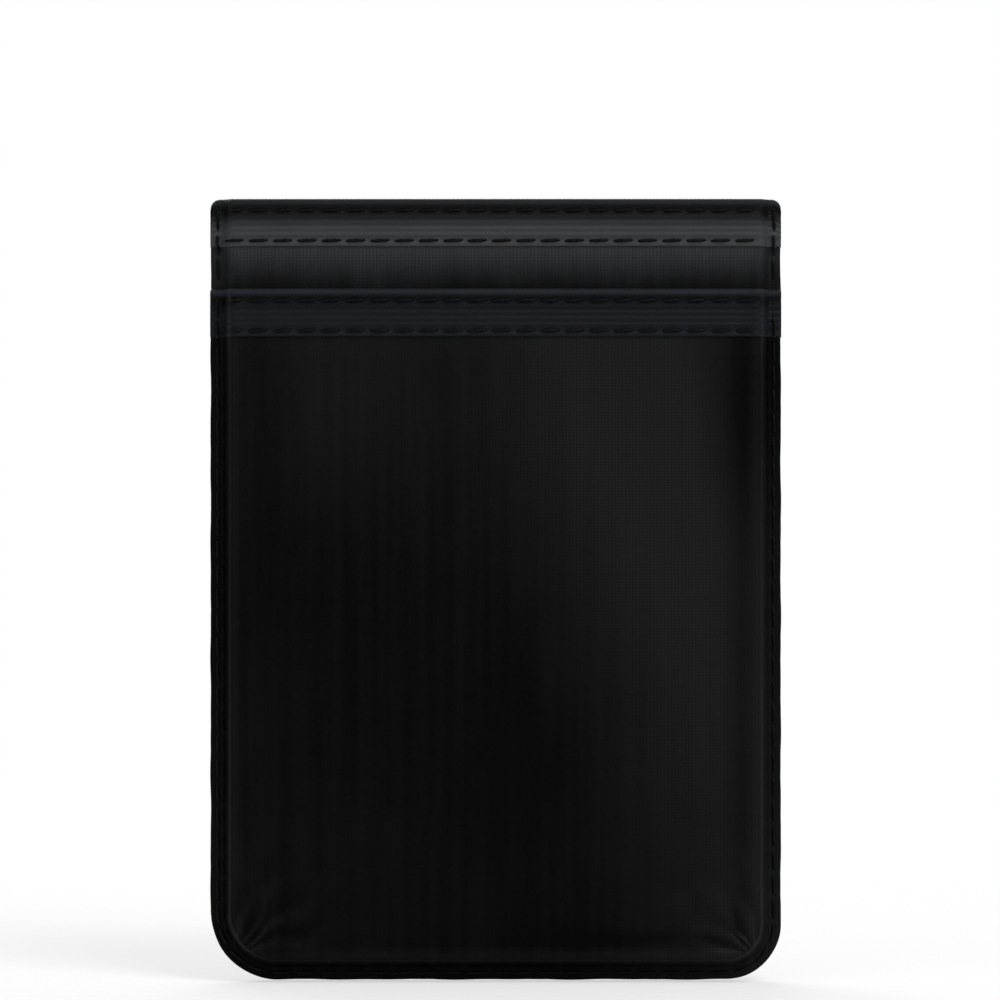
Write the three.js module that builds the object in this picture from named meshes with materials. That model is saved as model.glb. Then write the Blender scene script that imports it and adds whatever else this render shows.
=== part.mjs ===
// Stick-on holder: two flat stretch-fabric pockets, one over the other, sewn to an adhesive-backed panel.
// Millimetres. X runs across the holder, +Z up towards the pocket mouths, and the front faces -Y.
// The origin is the centre of the adhesive sheet's back face, which is pressed against the surface behind it.
import * as THREE from 'three';

// Outline, seen from the front
const slotWidth = 54.2;
const sideMargin = 2.3;
const holderHeight = 80.4;
const mouthStep = 9.3;
const leftCornerRadius = 7.0;
const rightCornerRadius = 5.8;
const topCornerRadius = 1.0;

// Layers, from the back to the front
const adhesiveThickness = 0.3;
const adhesiveInset = 2.2;
const backPanelThickness = 0.8;
const fabricThickness = 0.45;
const slotDepth = 0.95;

// How the pockets stand open
const seamInset = 1.25;
const rearCrown = 0.25;
const frontCrown = 0.35;
const crownRunIn = 26;
const mouthLift = 0.3;
const mouthRunIn = 14;

// Elastic binding folded over each mouth
const bindingThickness = 0.35;
const bindingHeight = 4.9;
const bindingRamp = 2.0;

// Sewing thread
const threadWidth = 0.3;
const threadHeight = 0.22;
const threadClearance = 0.02;
const upperRowDrop = 1.2;
const lowerRowDrop = 4.3;
const rowGrooveDepth = 0.1;
const rowGrooveReach = 0.45;
const edgeRowInset = 0.75;
const threadStepRun = 0.3;
const threadStepGap = 0.05;

// Fineness of the curved sheets
const cornerSteps = 6;
const columnSpacing = 4.2;
const rowSpacing = 7;
const foldSteps = 6;
const innerStepShare = 0.4;
const leastStep = 0.01;
const sameHeight = 0.001;

const halfWidth = slotWidth / 2 + sideMargin;
const bottomZ = -holderHeight / 2;
const rearMouthZ = bottomZ + holderHeight;
const frontMouthZ = rearMouthZ - mouthStep;
const { clamp, lerp, smoothstep } = THREE.MathUtils;

const fabricBlack = new THREE.MeshStandardMaterial({ color: 0x14151a, roughness: 0.55, metalness: 0 });
const fabricCharcoal = new THREE.MeshStandardMaterial({ color: 0x34363b, roughness: 0.6, metalness: 0 });
const backFabric = new THREE.MeshStandardMaterial({ color: 0x101114, roughness: 0.8, metalness: 0 });
const elasticCharcoal = new THREE.MeshStandardMaterial({ color: 0x3e4147, roughness: 0.5, metalness: 0 });
const elasticBlack = new THREE.MeshStandardMaterial({ color: 0x1c2026, roughness: 0.5, metalness: 0 });
const adhesiveFilm = new THREE.MeshStandardMaterial({
  color: 0xd9dcdb, roughness: 0.25, metalness: 0, transparent: true, opacity: 0.6,
});
const threadBlack = new THREE.MeshStandardMaterial({ color: 0x0d0e10, roughness: 0.6, metalness: 0 });

// Outline of the holder

function cornerRadiusAt(x) {
  return x < 0 ? leftCornerRadius : rightCornerRadius;
}

// Distance from a point to the nearest sewn edge: the two sides and the rounded bottom
function insideEdge(x, z) {
  const radius = cornerRadiusAt(x);
  const across = Math.abs(x) - (halfWidth - radius);
  const down = bottomZ + radius - z;
  if (across > 0 && down > 0) {
    return radius - Math.hypot(across, down);
  }
  return Math.min(halfWidth - Math.abs(x), z - bottomZ);
}

// How far the rounded top corner cuts down the rear mouth at x
function topCornerDrop(x) {
  const across = clamp(Math.abs(x) - (halfWidth - topCornerRadius), 0, topCornerRadius);
  return topCornerRadius - Math.sqrt(topCornerRadius ** 2 - across ** 2);
}

// Depth of each layer, measured forward from the front face of the back panel

function bindingLift(z, mouthZ) {
  const bindingBottom = mouthZ - bindingHeight;
  return bindingThickness * smoothstep(z, bindingBottom - bindingRamp, bindingBottom);
}

// Room that a pocket holds open at a point: nothing in the seam, a slot inside it, fuller in the middle
function pocketRoom(x, z, mouthZ, crown) {
  const rise = smoothstep(insideEdge(x, z), seamInset, sideMargin);
  const fullness = (1 - (x / halfWidth) ** 2) * smoothstep(z, bottomZ, bottomZ + crownRunIn);
  const lift = mouthLift * smoothstep(z, mouthZ - mouthRunIn, mouthZ);
  return rise * (slotDepth + crown * fullness + lift);
}

const rearPocket = {
  mouthZ: rearMouthZ,
  back: (x, z) => bindingLift(z, rearMouthZ) + pocketRoom(x, z, rearMouthZ, rearCrown),
  warp: (x, z) => bentDown(x, z, rearMouthZ, topCornerDrop(x)),
};
const frontPocket = {
  mouthZ: frontMouthZ,
  back: (x, z) => rearPocket.back(x, z) + fabricThickness + bindingLift(z, rearMouthZ)
    + bindingLift(z, frontMouthZ) + pocketRoom(x, z, frontMouthZ, frontCrown),
  warp: (x, z) => z,
};

// Lowers the top of a bound mouth by the given drop, shared out over the height of the binding
function bentDown(x, z, mouthZ, drop) {
  const bindingBottom = mouthZ - bindingHeight;
  return z > bindingBottom ? z - drop * (z - bindingBottom) / bindingHeight : z;
}

function fabricFront(pocket) {
  return (x, z) => pocket.back(x, z) + fabricThickness;
}

// Front that the edge seam is sewn to: the fabric, and above it the binding, which it climbs just below
function sewnFront(pocket) {
  const [climbStart] = climbSteps(pocket);
  const onFabric = fabricFront(pocket);
  const onBinding = bindingFront(pocket);
  return (x, z) => {
    const climbed = clamp((z - climbStart) / threadStepRun, 0, 1);
    return lerp(onFabric(x, z), onBinding(x, z), climbed);
  };
}

// Front of a binding, with a shallow groove along each row of stitches
function bindingFront(pocket) {
  return (x, z) => {
    let groove = 0;
    for (const rowDrop of [upperRowDrop, lowerRowDrop]) {
      const away = Math.abs(z - (pocket.mouthZ - rowDrop)) - threadWidth / 2;
      groove = Math.max(groove, rowGrooveDepth * (1 - smoothstep(away, 0, rowGrooveReach)));
    }
    return pocket.back(x, z) + fabricThickness + bindingThickness - groove;
  };
}

// Plan grid shared by the layers, so that sheets lying on each other have the same facets

function evenSteps(from, to, spacing) {
  const count = Math.max(1, Math.round(Math.abs(to - from) / spacing));
  return Array.from({ length: count + 1 }, (_, i) => lerp(from, to, i / count));
}

function sortedUnique(values) {
  const sorted = [...values].sort((a, b) => a - b);
  return sorted.filter((value, i) => i === 0 || value - sorted[i - 1] > leastStep);
}

// Heights of the grid rows above the rounded corners
const gridRows = sortedUnique([
  ...evenSteps(bottomZ + Math.max(leftCornerRadius, rightCornerRadius) + rowSpacing / 2,
    frontMouthZ - bindingHeight - bindingRamp, rowSpacing),
  ...[frontMouthZ, rearMouthZ].flatMap((mouthZ) => [
    mouthZ - bindingHeight - bindingRamp,
    mouthZ - bindingHeight - bindingRamp / 2,
    mouthZ - bindingHeight,
    mouthZ - bindingThickness,
  ]),
]);

// Steps inward from the sewn edge, as far as the centre of the corner's rounding
function insetSteps(reach) {
  const seamSteps = [
    0,
    topCornerRadius / 4,
    edgeRowInset - threadWidth / 2,
    edgeRowInset + threadWidth / 2,
    seamInset,
    lerp(seamInset, sideMargin, 1 / 3),
    lerp(seamInset, sideMargin, 2 / 3),
    sideMargin,
  ];
  return [...seamSteps, lerp(sideMargin, reach, innerStepShare), reach];
}

const coreColumns = evenSteps(-halfWidth + leftCornerRadius, halfWidth - rightCornerRadius, columnSpacing);

function coreReachAt(x) {
  const along = (x - coreColumns[0]) / (coreColumns.at(-1) - coreColumns[0]);
  return lerp(leftCornerRadius, rightCornerRadius, along);
}

// All X positions where a sheet's straight upper part is divided
const acrossStations = [
  ...insetSteps(leftCornerRadius).map((inset) => -halfWidth + inset),
  ...coreColumns.slice(1, -1),
  ...insetSteps(rightCornerRadius).map((inset) => halfWidth - inset).reverse(),
];

// Points along the sewn edge, down the left side, round the bottom and up the right, with the way inward
function edgeStations(rows) {
  const stations = [];
  const side = (sign, z, reach) => stations.push({ x: sign * halfWidth, z, inX: -sign, inZ: 0, reach });
  const corner = (sign, radius, angle) => stations.push({
    x: sign * (halfWidth - radius + radius * Math.cos(angle)),
    z: bottomZ + radius - radius * Math.sin(angle),
    inX: -sign * Math.cos(angle),
    inZ: Math.sin(angle),
    reach: radius,
  });
  for (const z of [...rows].reverse()) {
    side(-1, z, leftCornerRadius);
  }
  for (let i = 0; i < cornerSteps; i += 1) {
    corner(-1, leftCornerRadius, (i / cornerSteps) * Math.PI / 2);
  }
  for (const x of coreColumns) {
    stations.push({ x, z: bottomZ, inX: 0, inZ: 1, reach: coreReachAt(x) });
  }
  for (let i = cornerSteps - 1; i >= 0; i -= 1) {
    corner(1, rightCornerRadius, (i / cornerSteps) * Math.PI / 2);
  }
  for (const z of rows) {
    side(1, z, rightCornerRadius);
  }
  return stations;
}

// Triangles of a sheet in plan: strips that follow the sewn edge, and a plain grid inside them
function sheetPlan(pocket) {
  const rows = gridRows.filter((z) => z <= pocket.mouthZ - bindingThickness + sameHeight);
  const points = [];
  const triangles = [];
  const known = new Map();

  function node(x, z) {
    const bentZ = pocket.warp(x, z);
    const key = `${x.toFixed(4)} ${bentZ.toFixed(4)}`;
    if (!known.has(key)) {
      known.set(key, points.length);
      points.push([x, bentZ]);
    }
    return known.get(key);
  }

  function triangle(a, b, c) {
    if (a !== b && b !== c && c !== a) {
      triangles.push([a, b, c]);
    }
  }

  // Corners counter-clockwise from the front, split along the diagonal that rises to the right
  function quad(a, b, c, d) {
    const slope = (points[c][0] - points[a][0]) * (points[c][1] - points[a][1]);
    if (slope > 0) {
      triangle(a, b, c);
      triangle(a, c, d);
    } else {
      triangle(a, b, d);
      triangle(b, c, d);
    }
  }

  const edge = edgeStations(rows).map((station) => insetSteps(station.reach).map(
    (inset) => node(station.x + station.inX * inset, station.z + station.inZ * inset)));
  for (let s = 0; s + 1 < edge.length; s += 1) {
    for (let k = 0; k + 1 < edge[s].length; k += 1) {
      quad(edge[s][k], edge[s + 1][k], edge[s + 1][k + 1], edge[s][k + 1]);
    }
  }
  const core = coreColumns.map((x) => [bottomZ + coreReachAt(x), ...rows].map((z) => node(x, z)));
  for (let i = 0; i + 1 < core.length; i += 1) {
    for (let j = 0; j < rows.length; j += 1) {
      quad(core[i][j], core[i + 1][j], core[i + 1][j + 1], core[i][j + 1]);
    }
  }
  return { points, triangles };
}

// Closed solids

function solid(positions, triangles) {
  const geometry = new THREE.BufferGeometry();
  geometry.setAttribute('position', new THREE.Float32BufferAttribute(positions.flat(), 3));
  geometry.setIndex(triangles.flat());
  geometry.computeVertexNormals();
  return geometry;
}

// Sheet between two depths: its front, its back, and a wall round its cut edge
function sheetGeometry(pocket) {
  const { points, triangles } = sheetPlan(pocket);
  const count = points.length;
  const front = fabricFront(pocket);
  const positions = [
    ...points.map(([x, z]) => [x, -front(x, z), z]),
    ...points.map(([x, z]) => [x, -pocket.back(x, z), z]),
  ];
  const faces = [...triangles, ...triangles.map(([a, b, c]) => [c + count, b + count, a + count])];
  const sides = triangles.flatMap(([a, b, c]) => [[a, b], [b, c], [c, a]]);
  const seen = new Set(sides.map(([a, b]) => `${a} ${b}`));
  for (const [a, b] of sides) {
    if (!seen.has(`${b} ${a}`)) {
      faces.push([b, a, a + count], [b, a + count, b + count]);
    }
  }
  return solid(positions, faces);
}

// Skin through a row of equal rings, closed with a flat face at each end
function loftGeometry(rings, endTriangles) {
  const size = rings[0].length;
  const faces = [];
  for (let i = 0; i + 1 < rings.length; i += 1) {
    for (let j = 0; j < size; j += 1) {
      const next = (j + 1) % size;
      const [a, b, c, d] = [i * size + j, (i + 1) * size + j, (i + 1) * size + next, i * size + next];
      if (rings[i][next][2] >= rings[i][j][2]) {
        faces.push([a, b, c], [a, c, d]);
      } else {
        faces.push([a, b, d], [b, c, d]);
      }
    }
  }
  const last = (rings.length - 1) * size;
  for (const [a, b, c] of endTriangles) {
    faces.push([a, b, c], [last + c, last + b, last + a]);
  }
  return solid(rings.flat(), faces);
}

// Binding: a strip folded over the top of the fabric, with the cut edges level with each other
function bindingGeometry(pocket) {
  const { mouthZ, warp } = pocket;
  const bindingBottom = mouthZ - bindingHeight;
  const fabricTop = mouthZ - bindingThickness;
  const foldRadius = fabricThickness / 2 + bindingThickness;
  const innerRows = gridRows.filter((z) => z > bindingBottom - sameHeight && z < fabricTop + sameHeight);
  const foldZ = mouthZ - foldRadius;
  const backRows = sortedUnique([...innerRows.filter((z) => z < foldZ), foldZ]);
  const outerRows = bindingOuterRows(pocket);
  const front = bindingFront(pocket);
  const fabricFace = fabricFront(pocket);

  function ringAt(x) {
    const foldFront = front(x, foldZ);
    const foldBack = pocket.back(x, foldZ) - bindingThickness;
    const fold = Array.from({ length: foldSteps - 1 }, (_, i) => {
      const angle = ((i + 1) / foldSteps) * Math.PI;
      const depth = (foldFront + foldBack) / 2 + ((foldFront - foldBack) / 2) * Math.cos(angle);
      return [x, -depth, warp(x, foldZ + foldRadius * Math.sin(angle))];
    });
    const place = (depthAt) => (z) => [x, -depthAt(x, z), warp(x, z)];
    const placeBack = (z) => [x, bindingThickness - pocket.back(x, z), warp(x, z)];
    return [
      ...outerRows.map(place(front)),
      ...fold,
      ...[...backRows].reverse().map(placeBack),
      ...innerRows.map(place(pocket.back)),
      ...[...innerRows].reverse().map(place(fabricFace)),
    ];
  }

  const rings = acrossStations.map(ringAt);
  const contour = rings[0].map(([, y, z]) => new THREE.Vector2(z, y));
  return loftGeometry(rings, THREE.ShapeUtils.triangulateShape(contour, []));
}

// Heights of the binding's front grid, close together at the grooves
function bindingOuterRows(pocket) {
  const { mouthZ } = pocket;
  const rows = [upperRowDrop, lowerRowDrop].flatMap((rowDrop) => {
    const halfThread = threadWidth / 2;
    return [-halfThread - rowGrooveReach, -halfThread, halfThread, halfThread + rowGrooveReach]
      .map((offset) => mouthZ - rowDrop + offset);
  });
  const foldZ = mouthZ - fabricThickness / 2 - bindingThickness;
  const bindingBottom = mouthZ - bindingHeight;
  return sortedUnique([bindingBottom, foldZ, ...rows.filter((z) => z > bindingBottom && z < foldZ)]);
}

// Bead of thread along a path on a surface: flat below, arched above.
// It stands forward of the surface, or with outward -1 behind it.
function threadGeometry(path, depthAt, outward = 1) {
  const half = threadWidth / 2;
  const height = outward * threadHeight;
  const rings = path.map(({ x, z, sideX, sideZ }) => {
    const left = [x - sideX * half, z - sideZ * half];
    const right = [x + sideX * half, z + sideZ * half];
    const leftDepth = depthAt(...left) + outward * threadClearance;
    const rightDepth = depthAt(...right) + outward * threadClearance;
    const topDepth = (leftDepth + rightDepth) / 2 + height;
    return [
      [left[0], -leftDepth, left[1]],
      [right[0], -rightDepth, right[1]],
      [right[0], -rightDepth - height / 2, right[1]],
      [x, -topDepth, z],
      [left[0], -leftDepth - height / 2, left[1]],
    ];
  });
  return loftGeometry(rings, [[0, 1, 2], [0, 2, 3], [0, 3, 4]]);
}

// Makes a geometry's faces point outward
function facingOut(geometry) {
  const position = geometry.attributes.position;
  const index = geometry.index;
  const corner = [new THREE.Vector3(), new THREE.Vector3(), new THREE.Vector3()];
  let volume = 0;
  for (let i = 0; i < index.count; i += 3) {
    corner.forEach((point, k) => point.fromBufferAttribute(position, index.getX(i + k)));
    volume += corner[0].dot(corner[1].clone().cross(corner[2])) / 6;
  }
  if (volume < 0) {
    for (let i = 0; i < index.count; i += 3) {
      const second = index.getX(i + 1);
      index.setX(i + 1, index.getX(i + 2));
      index.setX(i + 2, second);
    }
    geometry.computeVertexNormals();
  }
  return geometry;
}

// Flat pieces

function outlineShape(inset, topRadius) {
  const side = halfWidth - inset;
  const top = rearMouthZ - inset;
  const bottom = bottomZ + inset;
  const leftRadius = Math.max(topCornerRadius, leftCornerRadius - inset);
  const rightRadius = Math.max(topCornerRadius, rightCornerRadius - inset);
  const shape = new THREE.Shape();
  shape.moveTo(-side, top - topRadius);
  shape.lineTo(-side, bottom + leftRadius);
  shape.absarc(-side + leftRadius, bottom + leftRadius, leftRadius, Math.PI, Math.PI * 1.5, false);
  shape.lineTo(side - rightRadius, bottom);
  shape.absarc(side - rightRadius, bottom + rightRadius, rightRadius, Math.PI * 1.5, Math.PI * 2, false);
  shape.lineTo(side, top - topRadius);
  shape.absarc(side - topRadius, top - topRadius, topRadius, 0, Math.PI * 0.5, false);
  shape.lineTo(-side + topRadius, top);
  shape.absarc(-side + topRadius, top - topRadius, topRadius, Math.PI * 0.5, Math.PI, false);
  return shape;
}

// Plate of the outline's shape, its back face at depth 0 and its front face towards -Y
function plateGeometry(inset, topRadius, thickness) {
  const geometry = new THREE.ExtrudeGeometry(outlineShape(inset, topRadius), {
    depth: thickness, bevelEnabled: false, curveSegments: 10,
  });
  return geometry.rotateX(Math.PI / 2);
}

// Paths of the thread

function acrossPath(z) {
  const reach = halfWidth - seamInset + sameHeight;
  return acrossStations.filter((x) => Math.abs(x) < reach).map((x) => ({ x, z, sideX: 0, sideZ: 1 }));
}

// Heights between which the edge seam climbs from the fabric onto the binding
function climbSteps(pocket) {
  const climbEnd = pocket.mouthZ - bindingHeight - threadStepGap;
  return [climbEnd - threadStepRun, climbEnd];
}

function upSidePath(sign, rows) {
  return rows.map((z) => ({ x: sign * (halfWidth - edgeRowInset), z, sideX: 1, sideZ: 0 }));
}

// Round the sewn edge between the same height on both sides
function edgePath(rows) {
  return edgeStations(rows).map(({ x, z, inX, inZ }) => ({
    x: x + inX * edgeRowInset, z: z + inZ * edgeRowInset, sideX: inX, sideZ: inZ,
  }));
}

// Assembly

const holder = new THREE.Group();
const pockets = new THREE.Group();
pockets.position.y = -adhesiveThickness - backPanelThickness;
holder.add(pockets);

function addPiece(parent, name, geometry, material) {
  const mesh = new THREE.Mesh(geometry, material);
  mesh.name = name;
  parent.add(mesh);
  return mesh;
}

const adhesiveCorner = Math.max(topCornerRadius, leftCornerRadius - adhesiveInset);
addPiece(holder, 'adhesive_pad', plateGeometry(adhesiveInset, adhesiveCorner, adhesiveThickness), adhesiveFilm);
const backPanel = addPiece(
  holder, 'back_panel', plateGeometry(0, topCornerRadius, backPanelThickness), backFabric);
backPanel.position.y = -adhesiveThickness;

addPiece(pockets, 'rear_pocket_panel', sheetGeometry(rearPocket), fabricCharcoal);
addPiece(pockets, 'rear_mouth_binding', facingOut(bindingGeometry(rearPocket)), elasticCharcoal);
addPiece(pockets, 'front_pocket_panel', sheetGeometry(frontPocket), fabricBlack);
addPiece(pockets, 'front_mouth_binding', facingOut(bindingGeometry(frontPocket)), elasticBlack);

// Two rows of stitches hold each binding
for (const [label, pocket] of [['rear', rearPocket], ['front', frontPocket]]) {
  for (const [row, rowDrop] of [['upper', upperRowDrop], ['lower', lowerRowDrop]]) {
    const path = acrossPath(pocket.mouthZ - rowDrop);
    const bead = facingOut(threadGeometry(path, bindingFront(pocket)));
    addPiece(pockets, `${label}_mouth_stitching_${row}`, bead, threadBlack);
  }
}

// One seam round the sides and bottom joins all the layers: it shows on the front pocket, again on the
// rear pocket above the front mouth, and all the way up on the back
const frontSeamRows = sortedUnique([
  ...gridRows.filter((z) => z < climbSteps(frontPocket)[0]),
  ...climbSteps(frontPocket),
  ...bindingOuterRows(frontPocket),
]);
const frontSeam = facingOut(threadGeometry(edgePath(frontSeamRows), sewnFront(frontPocket)));
addPiece(pockets, 'edge_stitching', frontSeam, threadBlack);

const rearSeamRows = sortedUnique([
  frontMouthZ + threadStepRun,
  ...gridRows.filter((z) => z > frontMouthZ + threadStepRun && z < climbSteps(rearPocket)[0]),
  ...climbSteps(rearPocket),
  ...bindingOuterRows(rearPocket),
]);
for (const [label, sign] of [['left', -1], ['right', 1]]) {
  const bead = facingOut(threadGeometry(upSidePath(sign, rearSeamRows), sewnFront(rearPocket)));
  addPiece(pockets, `rear_edge_stitching_${label}`, bead, threadBlack);
}

const backRows = gridRows.filter((z) => z < rearMouthZ - topCornerRadius);
const backSeam = facingOut(threadGeometry(edgePath(backRows), () => 0, -1));
addPiece(holder, 'edge_stitching_back', backSeam, threadBlack).position.y = -adhesiveThickness;

export default holder;
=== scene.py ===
"""Looks of the stick-on holder: two sewn stretch-fabric pockets on an adhesive back.

Shapes are worked out in millimetres. Depth is measured forward from the front face of the back panel.
"""
import math

import bpy
import numpy as np
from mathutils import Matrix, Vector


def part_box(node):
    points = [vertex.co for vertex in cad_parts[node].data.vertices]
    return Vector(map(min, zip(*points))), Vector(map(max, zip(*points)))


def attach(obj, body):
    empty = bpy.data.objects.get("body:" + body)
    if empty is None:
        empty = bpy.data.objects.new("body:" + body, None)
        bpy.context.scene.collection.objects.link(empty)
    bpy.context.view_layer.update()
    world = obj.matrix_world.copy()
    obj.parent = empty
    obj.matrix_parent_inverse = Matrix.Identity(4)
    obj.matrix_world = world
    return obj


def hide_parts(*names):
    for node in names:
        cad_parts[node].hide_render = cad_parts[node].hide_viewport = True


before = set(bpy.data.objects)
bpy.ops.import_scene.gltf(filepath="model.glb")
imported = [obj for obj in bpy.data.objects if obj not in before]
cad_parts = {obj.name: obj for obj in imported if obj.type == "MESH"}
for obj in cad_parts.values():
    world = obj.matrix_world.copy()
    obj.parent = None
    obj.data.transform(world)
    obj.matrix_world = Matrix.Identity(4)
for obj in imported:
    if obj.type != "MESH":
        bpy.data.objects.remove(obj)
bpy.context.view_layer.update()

MM = 0.001


def box_mm(node):
    low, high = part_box(node)
    return np.array(low) / MM, np.array(high) / MM


# Sizes read from the frame

back_low, back_high = box_mm("back_panel")
_, rear_high = box_mm("rear_mouth_binding")
front_low, front_high = box_mm("front_mouth_binding")
HALF_WIDTH = (back_high[0] - back_low[0]) / 2
BOTTOM = back_low[2]
REAR_MOUTH = rear_high[2]
FRONT_MOUTH = front_high[2]
BACK_FACE_Y = back_high[1]
BACK_FRONT_Y = back_low[1]
BINDING_HEIGHT = front_high[2] - front_low[2]

# Sizes of the sewn layers, in millimetres

LEFT_RADIUS = 7.0
RIGHT_RADIUS = 5.8
TOP_RADIUS = 1.0
FABRIC = 0.45
BINDING = 0.35
BINDING_RAMP = 2.0
SEWN_RAMP = 0.25
SLOT_DEPTH = 0.95
SEAM_INSET = 1.25
SIDE_MARGIN = 2.3
REAR_CROWN = 0.25
FRONT_CROWN = 0.35
CROWN_RUN_IN = 26.0
MOUTH_LIFT = 0.3
MOUTH_RUN_IN = 14.0
EDGE_ROW_INSET = 0.75
ROW_DROPS = (1.2, 4.3)
MOUTH_ROW_START = -HALF_WIDTH + SEAM_INSET

# Unevenness of the cloth

EDGE_ROUND = 0.16
EDGE_PINCH = 0.3
CUT_EDGE_WAVER = 0.05
WAVER_REACH = 0.6
WELT_HEIGHT = 0.12
WELT_INSET = 2.6
WELT_WIDTH = 0.65
WELT_DIP_STEP = 1.7
WELT_DIP_WIDTH = 0.9
WELT_DIP_SHARE = 0.45
WAVE_HEIGHT = 0.1
PUCKER_HEIGHT = 0.24
PUCKER_REACH = 2.4
PUCKER_CURL = 5
PUCKER_VALLEY_TURN = 11
PUCKER_VALLEY_SHARE = 0.5
DRAG_HEIGHT = 0.05
DRAG_REACH = 7

# Creases of the left and right corners and of each mouth's ends: direction and width in degrees, and share
# of the full height. The corners' directions are measured from the corner's diagonal.
PUCKERS = {
    -1: ((-33, 7, 0.9), (-9, 6, 1.0), (14, 6, 0.8), (37, 7, 0.7)),
    1: ((-36, 6, 0.8), (-14, 6, 1.1), (8, 5, 0.9), (30, 7, 1.0)),
}
DRAG_LINES = ((58, 5, 1.0), (70, 4, 0.8), (80, 3.5, 0.7))

# Fineness of the meshes

LEAST_STEP = 0.12
BACK_SPACING = 1.2
REAR_SPACING = 0.8
FRONT_SPACING = 0.5
RIM_STEPS = (0.35, 0.55, 0.75, 0.95)
RISE_START = 1.1
RISE_REACH = 0.9
RISE_STEP = 0.17
INNER_STEPS = 6
DEEP_INSIDE = 99.0

# Stitches

STITCH_PITCH = 2.5
STITCH_GAP = 0.34
THREAD_RADIUS = 0.15
STITCH_STAND = 0.1
STITCH_SINK = 0.16
STITCH_LEAN = 0.05
STITCH_SIDES = 10
STITCH_SLICES = 15
STITCH_SQUARENESS = 3.2
STITCH_END_SHARE = 0.72
PLY_RELIEF = 0.16
PLY_TURN = 2.6 * math.pi
TANGENT_STEP = 0.05
GROOVE_DEPTH = 0.13
GROOVE_REACH = 0.42
HOLE_DEPTH = 0.1
HOLE_REACH = 0.32
SEAM_PATH_STEP = 0.25
CORNER_PATH_POINTS = 40
SEAM_CLIMB = 0.3
SEAM_STAND = 0.02

# Elastic

RIB_PITCH = 0.62
RIB_HEIGHT = 0.055
STRIP_END_STEPS = (0.0, 0.05, 0.14)
STRIP_END_ROUND = 0.14
STRIP_END_PINCH = 0.1
STRIP_END_GAP = 0.3
STRIP_COLUMN = 0.25
STRIP_ROW = 0.085
STRIP_BACK_ROW = 0.3
STRIP_HEM_ROUND = 0.16
STRIP_HEM_REACH = 0.1
FOLD_STEPS = 12

# Camera, from the photograph's frame

FRAME_PIXELS = 1000
HOLDER_LEFT_PX = 210.6
HOLDER_RIGHT_PX = 780.8
HOLDER_BOTTOM_PX = 979.3
LENS = 200.0
SENSOR = 36.0
CLIP_NEAR = 0.01
CLIP_FAR = 20

# Point attribute of painted light, painted highlight and painted shade, that the cloth's materials read
PAINTED_LIGHT = "painted_light"


def smooth(value, low, high):
    t = np.clip((value - low) / (high - low), 0.0, 1.0)
    return t * t * (3.0 - 2.0 * t)


def bell(value, width):
    return np.exp(-(value / width) ** 2)


# Form of the holder


def corner_radius(x):
    return np.where(x < 0, LEFT_RADIUS, RIGHT_RADIUS)


def inside_edge(x, z):
    """Distance from a point to the nearest sewn edge: the two sides and the rounded bottom."""
    radius = corner_radius(x)
    across = np.abs(x) - (HALF_WIDTH - radius)
    down = BOTTOM + radius - z
    rounded = radius - np.hypot(across, down)
    straight = np.minimum(HALF_WIDTH - np.abs(x), z - BOTTOM)
    return np.where((across > 0) & (down > 0), rounded, straight)


def binding_lift(x, z, mouth):
    """How far the elastic's back layer lifts the cloth: it climbs steeply in the seam, gently inside."""
    low = mouth - BINDING_HEIGHT
    ramp = SEWN_RAMP + (BINDING_RAMP - SEWN_RAMP) * smooth(inside_edge(x, z), SEAM_INSET, SIDE_MARGIN)
    return BINDING * smooth(z, low - ramp, low)


def pocket_room(x, z, mouth, crown):
    rise = smooth(inside_edge(x, z), SEAM_INSET, SIDE_MARGIN)
    fullness = (1 - (x / HALF_WIDTH) ** 2) * smooth(z, BOTTOM, BOTTOM + CROWN_RUN_IN)
    lift = MOUTH_LIFT * smooth(z, mouth - MOUTH_RUN_IN, mouth)
    return rise * (SLOT_DEPTH + crown * fullness + lift)


def corner_puckers(x, z):
    """Small creases that fan out from each lower corner, where the cloth is gathered round the bend."""
    total = np.zeros_like(x)
    for sign, radius in ((-1, LEFT_RADIUS), (1, RIGHT_RADIUS)):
        reach = (radius - SEAM_INSET) * math.sqrt(0.5)
        start_x = sign * (HALF_WIDTH - radius + reach)
        start_z = BOTTOM + radius - reach
        inward = -sign * (x - start_x)
        upward = z - start_z
        far = np.hypot(inward, upward) + 1e-6
        angle = np.degrees(np.arctan2(upward, inward)) - 45
        fade = (far / PUCKER_REACH) * np.exp(1 - far / PUCKER_REACH)
        for middle, width, height in PUCKERS[sign]:
            bend = angle - middle - PUCKER_CURL * np.sin(far * 0.9 + middle)
            valley = PUCKER_VALLEY_SHARE * bell(bend - PUCKER_VALLEY_TURN, width)
            total += PUCKER_HEIGHT * height * fade * (bell(bend, width) - valley)
    return total * smooth(inside_edge(x, z), SEAM_INSET - 0.1, SEAM_INSET + 0.9)


def welt_dip(x, z):
    return bell(inside_edge(x, z) - WELT_INSET - WELT_DIP_STEP, WELT_DIP_WIDTH)


def welt(x, z):
    """Low ridge over the turned-in seam allowance all round the edge, and the dip inside it."""
    ridge = bell(inside_edge(x, z) - WELT_INSET, WELT_WIDTH)
    return WELT_HEIGHT * (ridge - WELT_DIP_SHARE * welt_dip(x, z))


def soft_waves(x, z, phase):
    """Broad, very low unevenness of stretched cloth: two waves, in radians per millimetre."""
    slow = np.sin(x * 0.11 + z * 0.05 + phase) * np.cos(z * 0.07 - x * 0.04 + 1.7 * phase)
    quick = np.sin(x * 0.31 - z * 0.13 + 2.1 * phase) * np.sin(z * 0.19 + x * 0.08 + phase)
    return WAVE_HEIGHT * (slow + 0.4 * quick)


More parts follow.
